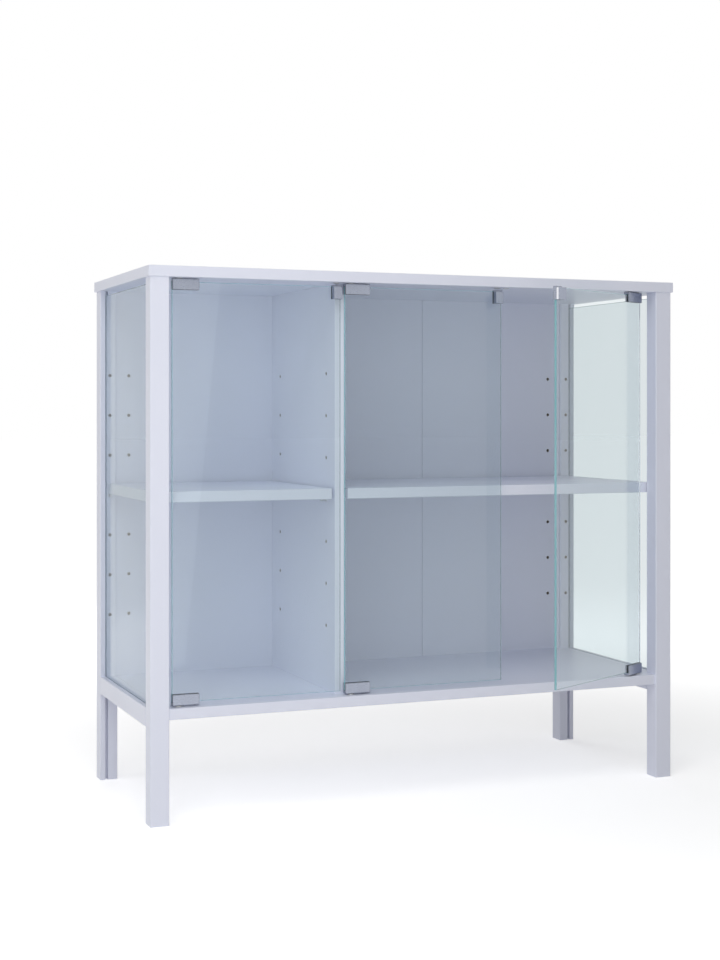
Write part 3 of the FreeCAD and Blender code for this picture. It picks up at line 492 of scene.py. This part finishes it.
# %% [markdown]
# ## Where a door hangs
#
# Each door is drawn as if it hung from the origin: its pivot is at 0, the pane runs along +X and the room is
# at -Y. One function then carries those points to the door: the right door runs the other way, and stands
# open, so its points are mirrored and turned about its pivot. Mirroring turns a shape inside out, and the
# piece helper puts that right when it turns the faces outwards. The seams between the doors lie at the
# thirds of the width between the posts. Each door ends half a seam before one, and the middle door's hinge
# edge stands a little past one, which leaves room for its clips beside the left door's cap.

# %% Doors and how they hang
DOOR_PLANE = 0.018 - MIDDLE
BETWEEN_POSTS, HALF_SEAM, PAST_SEAM = 0.808, 0.0015, 0.0055
HINGE_EDGE = -0.010
SEAM = BETWEEN_POSTS / 6
DOORS = {
    "left": {"pivot": -0.386, "side": 1, "open": 0, "tip": -SEAM - HALF_SEAM},
    "middle": {"pivot": -SEAM + PAST_SEAM - HINGE_EDGE, "side": 1, "open": 0, "tip": SEAM - HALF_SEAM},
    "right": {"pivot": 0.378, "side": -1, "open": 28.7, "tip": SEAM + HALF_SEAM},
}
for hang in DOORS.values():
    hang["reach"] = abs(hang["tip"] - hang["pivot"])
GLASS_LOW, GLASS_HIGH, HALF_GLASS = 0.1725, 0.7785, 0.002
EDGE_ROUND = 0.0006
print("door widths:", [round(hang["reach"] - HINGE_EDGE, 4) for hang in DOORS.values()])


def hung(door, solid):
    """x' = pivot + cos(open) * side * x - sin(open) * y, and
    y' = door plane + sin(open) * side * x + cos(open) * y."""
    points, faces = solid
    hang = DOORS[door]
    cosine, sine = math.cos(math.radians(hang["open"])), math.sin(math.radians(hang["open"]))
    x, y = points[:, 0] * hang["side"], points[:, 1]
    placed = np.stack(
        [hang["pivot"] + cosine * x - sine * y, DOOR_PLANE + sine * x + cosine * y, points[:, 2]], axis=-1
    )
    return placed, faces


def finish_edges(pane, across):
    """Gives the second finish to every face that doesn't look along across, to a cosine of 0.9999."""
    normals = np.empty(len(pane.data.polygons) * 3)
    pane.data.polygons.foreach_get("normal", normals)
    flat = np.abs(normals.reshape(-1, 3) @ np.array(across)) > 0.9999
    pane.data.polygons.foreach_set("material_index", np.where(flat, 0, 1))
    print(pane.name, "faces:", int(flat.sum()), "clear,", int((~flat).sum()), "ground")


# %% Draw the panes
for door, hang in DOORS.items():
    solid = rounded_box(
        (HINGE_EDGE, -HALF_GLASS, GLASS_LOW), (hang["reach"], HALF_GLASS, GLASS_HIGH), EDGE_ROUND
    )
    pane = new_piece(
        f"door_{door}_pane", hung(door, solid), f"door_{door}", (door_face, door_edge),
        [f"door_{door}_glass"], sharp=30,
    )
    turn = math.radians(hang["open"])
    finish_edges(pane, (-math.sin(turn), math.cos(turn), 0))
for side in ("left", "right"):
    low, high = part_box(f"side_glass_{side}")
    pane = new_piece(
        f"side_{side}_pane", rounded_box(low, high, EDGE_ROUND), "carcass",
        (side_face, side_edge), [f"side_glass_{side}"], sharp=30,
    )
    finish_edges(pane, (1, 0, 0))

# %% [markdown]
# ## Pivot clips and strike caps
#
# A pivot clip is a short channel that grips the glass: two jaws and a web, with a round on every edge. Its
# section is drawn once as a flat outline and carried along a straight line, and a Bevel modifier rounds the
# edges. The cap on the free top corner is a thin shell over the glass. Before it sits a wedge to pull the
# door by, a pushed ball again, whose depth is then squeezed towards the tip.

# %% The carried outline
HALF_CLIP, JAW, WEB = 0.0051, 0.0026, 0.004


def carried(outline, start, end):
    """P(s, t) = (start + t * (end - start), y(s), z(s)): a closed outline of (y, z) pairs, carried along X
    from start to end, with flat ends."""
    along = np.array([start, end])[:, None] + np.zeros(len(outline))
    yz = np.broadcast_to(outline, (2, len(outline), 2))
    shape, faces = skin(np.concatenate([along[..., None], yz], axis=-1), loop_columns=True)
    count = len(outline)
    return shape, faces + [list(range(count)), list(range(count, 2 * count))]


def channel(foot, rim):
    """The outline of a channel whose web starts at height foot and whose jaws end at rim."""
    inner = HALF_CLIP - JAW
    bottom = foot + math.copysign(WEB, rim - foot)
    return np.array([
        (-HALF_CLIP, foot), (HALF_CLIP, foot), (HALF_CLIP, rim), (inner, rim), (inner, bottom),
        (-inner, bottom), (-inner, rim), (-HALF_CLIP, rim),
    ])


print("corners of the clip's outline:", len(channel(0, 1)))

# %% Measure the clips
# the height of each board's face, and whether the inside of the bookcase is above it, 1, or below it, -1
BOARD_FACES = {"bottom": (0.167, 1), "top": (0.784, -1)}
CLIP_GAP, CLIP_HEIGHT, CLIP_LENGTH, CLIP_ROUND = 0.001, 0.016, 0.040, 0.0008
# each clip's foot, a gap away from its board, and its rim
CLIPS = {
    level: (face + inwards * CLIP_GAP, face + inwards * (CLIP_GAP + CLIP_HEIGHT))
    for level, (face, inwards) in BOARD_FACES.items()
}
print("clips, foot and rim:", {level: [round(v, 4) for v in ends] for level, ends in CLIPS.items()})

# %% Measure the caps
CAP_LENGTH, CAP_OVER, CAP_WALL, CAP_SLOT = 0.015, 0.0013, 0.0008, 0.0025
CAP_LOW, CAP_TOP, CAP_ROOF, WEDGE_TOP = 0.7595, 0.780, 0.001, 0.778
SHELL_ROUND, WEDGE_ROUND = 0.0003, 0.0008
TIP_DEPTH, ROOT_DEPTH = 0.0038, 0.0093


def pull_cap(tip):
    """A thin cap over the pane's corner and a wedge before it, tip being where the cap ends."""
    start, skirt = tip - CAP_LENGTH, CAP_SLOT + CAP_WALL
    shell = [
        rounded_box((start, CAP_SLOT, CAP_LOW), (tip, skirt, CAP_TOP), SHELL_ROUND),
        rounded_box((start, -skirt, CAP_LOW), (tip, -CAP_SLOT, CAP_TOP), SHELL_ROUND),
        rounded_box((tip - CAP_WALL, -skirt, CAP_LOW), (tip, skirt, CAP_TOP), SHELL_ROUND),
        rounded_box((start, -skirt, CAP_TOP - CAP_ROOF), (tip, skirt, CAP_TOP), SHELL_ROUND),
    ]
    points, faces = rounded_box(
        (start, -CAP_SLOT - ROOT_DEPTH, CAP_LOW), (tip, -CAP_SLOT, WEDGE_TOP), WEDGE_ROUND
    )
    # the front slopes: its depth before the slot shrinks evenly from the root to the tip
    share = (points[:, 0] - start) / CAP_LENGTH
    depth = 1 + share * (TIP_DEPTH / ROOT_DEPTH - 1)
    points[:, 1] = -CAP_SLOT + (points[:, 1] + CAP_SLOT) * depth
    return gather([*shell, (points, faces)])


def paint_tip_highlight(cap, door):
    """Gives the second finish, the bright chrome of a painted highlight, to the wedge's end: faces that look
    towards the tip, to a cosine of 0.6, and lie before the shell."""
    hang = DOORS[door]
    cosine, sine = math.cos(math.radians(hang["open"])), math.sin(math.radians(hang["open"]))
    normals, centres = np.empty((2, len(cap.data.polygons) * 3))
    cap.data.polygons.foreach_get("normal", normals)
    cap.data.polygons.foreach_get("center", centres)
    to_tip = normals.reshape(-1, 3) @ np.array([cosine, sine, 0]) * hang["side"]
    before = (centres.reshape(-1, 3) - (hang["pivot"], DOOR_PLANE, 0)) @ np.array([sine, -cosine, 0])
    ends = (to_tip > 0.6) & (before > CAP_SLOT + CAP_WALL)
    cap.data.polygons.foreach_set("material_index", np.where(ends, 1, 0))
    print(cap.name, "polished faces:", int(ends.sum()))


# %% Draw the clips and caps
for door, hang in DOORS.items():
    for level, (foot, rim) in CLIPS.items():
        clip = carried(channel(foot, rim), HINGE_EDGE, HINGE_EDGE + CLIP_LENGTH)
        # the clip's rounded edges take the darker chrome of a painted reflection
        new_piece(
            f"door_{door}_{level}_clip", hung(door, clip), f"door_{door}",
            (chrome, chrome_painted_dark_edge), [f"door_{door}_clip_{level}"], bevel=CLIP_ROUND,
        )
    cap = new_piece(
        f"door_{door}_cap", hung(door, pull_cap(hang["reach"] + CAP_OVER)), f"door_{door}",
        (chrome, chrome_painted_highlight), [f"door_{door}_strike_cap"],
    )
    # the wedge's end takes the bright chrome of a painted highlight
    paint_tip_highlight(cap, door)

# %% [markdown]
# ## Pins, screws, bushes and magnets
#
# All of these are turned on a lathe, so they are drawn that way: a profile of radius against height, spun
# about an axis. One small change to the formula gives the key socket of a grub screw: where a row is marked,
# its circle becomes a hexagon. The same shape is then set down wherever the real pieces sit.

# %% The lathe
LATHE_SIDES = 32


def turned(profile, hollow=False, keyed=(), sides=LATHE_SIDES):
    """P(s, a) = (r cos a, r sin a, h) with r and h from the profile. A keyed row's radius is that of a
    hexagon: r * cos 30 / cos(a mod 60 - 30)."""
    profile = np.array(profile, float)
    angle = np.arange(sides) * 2 * math.pi / sides
    hexagon = math.cos(math.pi / 6) / np.cos(np.mod(angle, math.pi / 3) - math.pi / 6)
    radius = profile[:, :1] * np.where(np.isin(np.arange(len(profile)), keyed)[:, None], hexagon, 1.0)
    height = np.broadcast_to(profile[:, 1:], radius.shape)
    points = np.stack([radius * np.cos(angle), radius * np.sin(angle), height], axis=-1)
    return skin(points, loop_rows=hollow, loop_columns=True)


def set_down(solid, place, along=(0, 0, 1)):
    """Carries a turned shape to place, with its axis turned to point along."""
    points, faces = solid
    turn = np.array(Vector((0, 0, 1)).rotation_difference(Vector(along)).to_matrix())
    return points @ turn.T + np.array(place), faces


print("points of a turned rod:", len(turned([(0, 0), (1, 0), (1, 1), (0, 1)])[0]))

# %% [markdown]
# A shelf pin is a short zinc rod with a collar that stops it at the board's face. Three pins hold each
# shelf's outer end, two from the posts and one from the back, and two more stand in the divider.

# %% Set the shelf pins
FEW_SIDES, SHELF_ROW = 24, 3
PIN = [(0, -0.0065), (0.0021, -0.0065), (0.0025, -0.0061), (0.0025, 0), (0.0032, 0), (0.0035, 0.0002),
       (0.0035, 0.0006), (0.0033, 0.0008), (0.0025, 0.0008), (0.0025, 0.0084), (0.0023, 0.0088),
       (0.0019, 0.0090), (0, 0.0090)]
PIN_HEIGHT = FIRST_HOLE + SHELF_ROW * HOLE_PITCH
POST_FACES = ((0.028 - MIDDLE, (0, 1, 0)), (0.317 - MIDDLE, (0, -1, 0)))
BACK_FACE = 0.322 - MIDDLE
DIVIDER_FACES = {"left": (-0.140, (-1, 0, 0)), "right": (-0.124, (1, 0, 0))}
pin = turned(PIN, sides=FEW_SIDES)
for side, mirror in (("left", -1), ("right", 1)):
    pins = [set_down(pin, (mirror * POST_COLUMN, face, PIN_HEIGHT), along) for face, along in POST_FACES]
    pins.append(set_down(pin, (mirror * BACK_COLUMN, BACK_FACE, PIN_HEIGHT), (0, -1, 0)))
    face, along = DIVIDER_FACES[side]
    pins += [set_down(pin, (face, column, PIN_HEIGHT), along) for column in DIVIDER_COLUMNS]
    new_piece(
        f"{side}_shelf_pins", gather(pins), "carcass", (zinc,), [f"shelf_pins_{side}"]
    )
    print(side, "shelf pins:", len(pins))

# %% [markdown]
# Each clip turns on a steel pin in a nylon bush. The bush is pressed into the board up to its flange. The
# pins go with the doors, and the bushes stay with the carcass.

# %% Set the pivot pins and bushes
PIN_RADIUS, PIN_FOOT, PIN_ROUND = 0.0025, 0.004, 0.0006
PIN_REACH = {"top": 0.009, "bottom": 0.010}
FLANGE = 0.0007
BUSH = [(0.00255, 0.0002), (0.0028, 0), (0.0052, 0), (0.0055, 0.0003), (0.0055, FLANGE), (0.0040, FLANGE),
        (0.0040, 0.0107), (0.00255, 0.0107)]


def pivot_pin(reach):
    """A rod from its foot in the clip to reach past the clip, its end rounded off."""
    return turned([
        (0, -PIN_FOOT), (PIN_RADIUS, -PIN_FOOT), (PIN_RADIUS, reach - PIN_ROUND),
        (PIN_RADIUS - PIN_ROUND, reach), (0, reach),
    ])


bush = turned(BUSH, hollow=True)
for door in DOORS:
    ends = [
        set_down(pivot_pin(PIN_REACH[level]), (0, 0, CLIPS[level][0]), (0, 0, -BOARD_FACES[level][1]))
        for level in ("top", "bottom")
    ]
    new_piece(
        f"door_{door}_pivots", hung(door, gather(ends)), f"door_{door}", (zinc,),
        [f"door_{door}_pivot_pins"],
    )
for level in ("top", "bottom"):
    face, inwards = BOARD_FACES[level]
    bushes = [
        set_down(bush, (hang["pivot"], DOOR_PLANE, face + inwards * FLANGE), (0, 0, -inwards))
        for hang in DOORS.values()
    ]
    new_piece(
        f"{level}_bushes", gather(bushes), "carcass", (nylon,), [f"pivot_bushes_{level}"]
    )
    print(level, "bushes:", len(bushes))

# %% [markdown]
# Two grub screws in the rear jaw of each clip press the glass against the liner. A magnet in a nickel cup
# above each strike cap holds the door shut.

# %% Set the grub screws and magnets
GRUB = [(0, 0), (0.0017, 0), (0.0020, 0.0003), (0.0020, 0.0032), (0.0018, 0.0034), (0.0010, 0.0034),
        (0.0010, 0.0022), (0, 0.0022)]
SOCKET_ROWS = (5, 6)
GRUBS_ALONG, GRUB_IN = (0.005, 0.023), 0.010
GRUB_HEIGHTS = [foot + math.copysign(GRUB_IN, rim - foot) for foot, rim in CLIPS.values()]
grub = turned(GRUB, keyed=SOCKET_ROWS, sides=FEW_SIDES)
for door in DOORS:
    screws = [
        set_down(grub, (along, HALF_CLIP - JAW, height), (0, 1, 0))
        for along in GRUBS_ALONG for height in GRUB_HEIGHTS
    ]
    new_piece(
        f"door_{door}_grubs", hung(door, gather(screws)), f"door_{door}", (oxide,),
        [f"door_{door}_grub_screws"],
    )
MAGNET_LIP = 0.001
MAGNET = [(0, 0.0003), (0.0038, 0.0003), (0.0040, 0), (0.0048, 0), (0.0050, 0.0002), (0.0050, MAGNET_LIP),
          (0.0040, MAGNET_LIP), (0.0040, 0.0110), (0, 0.0110)]
magnet = turned(MAGNET)
magnets = []
for hang in DOORS.values():
    over_cap = hang["pivot"] + hang["side"] * (hang["reach"] + CAP_OVER - CAP_LENGTH / 2)
    magnets.append(set_down(magnet, (over_cap, DOOR_PLANE, BOARD_FACES["top"][0] - MAGNET_LIP)))
new_piece("magnets", gather(magnets), "carcass", (nickel,), ["catch_magnets"])
print("grub screws on a door:", len(screws), "magnets:", len(magnets))

# %% [markdown]
# ## Floor, sky and light
#
# The bookcase stands on a wide pale floor under a white sky. The floor glows a little less than white for
# rays that the eye follows, straight, off a mirror or through glass, and its lit surface adds the rest.
# Where the bookcase shades it, that rest is missing, so a soft shadow stays. Far from the lamps less light
# adds to it, so the glow grows with the distance. The sky is white for the eye in the same way, and a quiet
# grey for lighting.

# %% Lay the floor
NEAR_GLOW, FAR_GLOW, GLOW_FROM, GLOW_TO = 0.45, 0.76, 0.5, 1.8
FLOOR_REACH = 30.0


def seen(here):
    """1 for rays that the eye follows straight or off a mirror or through glass, else 0."""
    straight = here.node("ShaderNodeLightPath", out="Is Camera Ray")
    mirrored = here.node("ShaderNodeLightPath", out="Is Glossy Ray")
    through = here.node("ShaderNodeLightPath", out="Is Transmission Ray")
    return here.sum("MAXIMUM", straight, here.sum("MAXIMUM", mirrored, through))


floor_finish, here = new_finish("studio_floor")
away = here.node("ShaderNodeVectorMath", {"operation": "LENGTH"}, {0: here}, out="Value")
strength = away.node(
    "ShaderNodeMapRange", {"interpolation_type": "SMOOTHSTEP"},
    {"Value": away, "From Min": GLOW_FROM, "From Max": GLOW_TO, "To Min": NEAR_GLOW, "To Max": FAR_GLOW},
)
glow = here.node("ShaderNodeEmission", sockets={"Color": (1, 1, 1, 1), "Strength": strength * seen(here)})
paint = here.node("ShaderNodeBsdfDiffuse", sockets={"Color": (0.9, 0.9, 0.9, 1)})
end_finish(floor_finish, glow.node("ShaderNodeAddShader", sockets={0: glow, 1: paint}))
floor_mesh = bpy.data.meshes.new("studio_floor")
corners = np.array([(-1, -1), (1, -1), (1, 1), (-1, 1)]) * FLOOR_REACH
floor_mesh.from_pydata(np.c_[corners, np.zeros(4)].tolist(), [], [[0, 1, 2, 3]])
floor_mesh.materials.append(floor_finish)
floor = bpy.data.objects.new("studio_floor", floor_mesh)
scene.collection.objects.link(floor)

# %% Hang the sky
SKY_LIGHT = 0.28
world = bpy.data.worlds.new("studio_sky")
world.use_nodes = True
world.node_tree.nodes.clear()
sky = Wire(world.node_tree)
bright = seen(sky) * (1 - SKY_LIGHT) + SKY_LIGHT
background = sky.node("ShaderNodeBackground", sockets={"Color": (1, 1, 1, 1), "Strength": bright})
background.node("ShaderNodeOutputWorld", sockets={"Surface": background})
scene.world = world
print("sky:", world.name, "with", len(world.node_tree.nodes), "nodes")

# %% [markdown]
# Four soft lamps light the bookcase, each a square over a metre wide. The key lamp stands close in front of
# the left half, so its light falls off towards the right end, and one high above it lights the boards'
# edges. A third lights the left side, and one behind keeps the back from going grey. They hide from the
# camera and from mirrors, so chrome and glass show the plain white room and not four bright squares.


# %% Hang the lamps
def lamp(name, place, target, size, watts):
    """A square lamp at place that looks at target."""
    data = bpy.data.lights.new(name, "AREA")
    data.shape, data.size, data.energy = "SQUARE", size, watts
    made = bpy.data.objects.new(name, data)
    made.location = place
    made.rotation_euler = (Vector(target) - Vector(place)).to_track_quat("-Z", "Y").to_euler()
    made.visible_camera = made.visible_glossy = False
    scene.collection.objects.link(made)


lamp("key_lamp", place=(-0.55, -1.15, 0.6), target=(-0.2, 0, 0.4), size=1.2, watts=5)
lamp("top_lamp", place=(-0.8, -1.2, 2.3), target=(0, 0, 0.4), size=1.4, watts=15)
lamp("side_lamp", place=(-2.0, 0.1, 0.85), target=(0, 0.1, 0.45), size=1.2, watts=4.8)
lamp("back_lamp", place=(0, 2.2, 1.0), target=(0, 0.2, 0.4), size=1.3, watts=10)
print("lamps hung:", len(bpy.data.lights))

# %% [markdown]
# ## The view
#
# The view is left plain, so that colours show as they are written.

# %% Leave the view plain
scene.view_settings.view_transform = "Standard"
